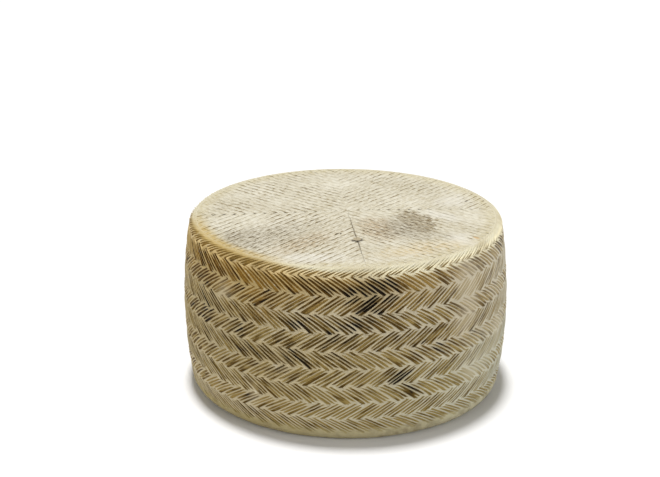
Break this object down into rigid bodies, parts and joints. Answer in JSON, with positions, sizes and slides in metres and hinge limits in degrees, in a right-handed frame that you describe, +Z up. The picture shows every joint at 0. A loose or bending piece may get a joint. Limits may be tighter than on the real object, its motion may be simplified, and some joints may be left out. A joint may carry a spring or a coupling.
{
  "type": "cheese wheel",
  "caption": "Whole pressed cheese wheel: a low, slightly barrelled drum with flat faces and a side meant for a plaited grass mould imprint.",
  "frame": {"origin": "centre of the flat underside that the wheel rests on", "axes": "+Z up, along the wheel's axis, from the underside to the top face"},
  "size_m": [0.2, 0.2, 0.106],
  "materials": {
    "rind": "matte"
  },
  "bodies": {
    "root": {"cheese_wheel": "rind"}
  },
  "joints": []
}
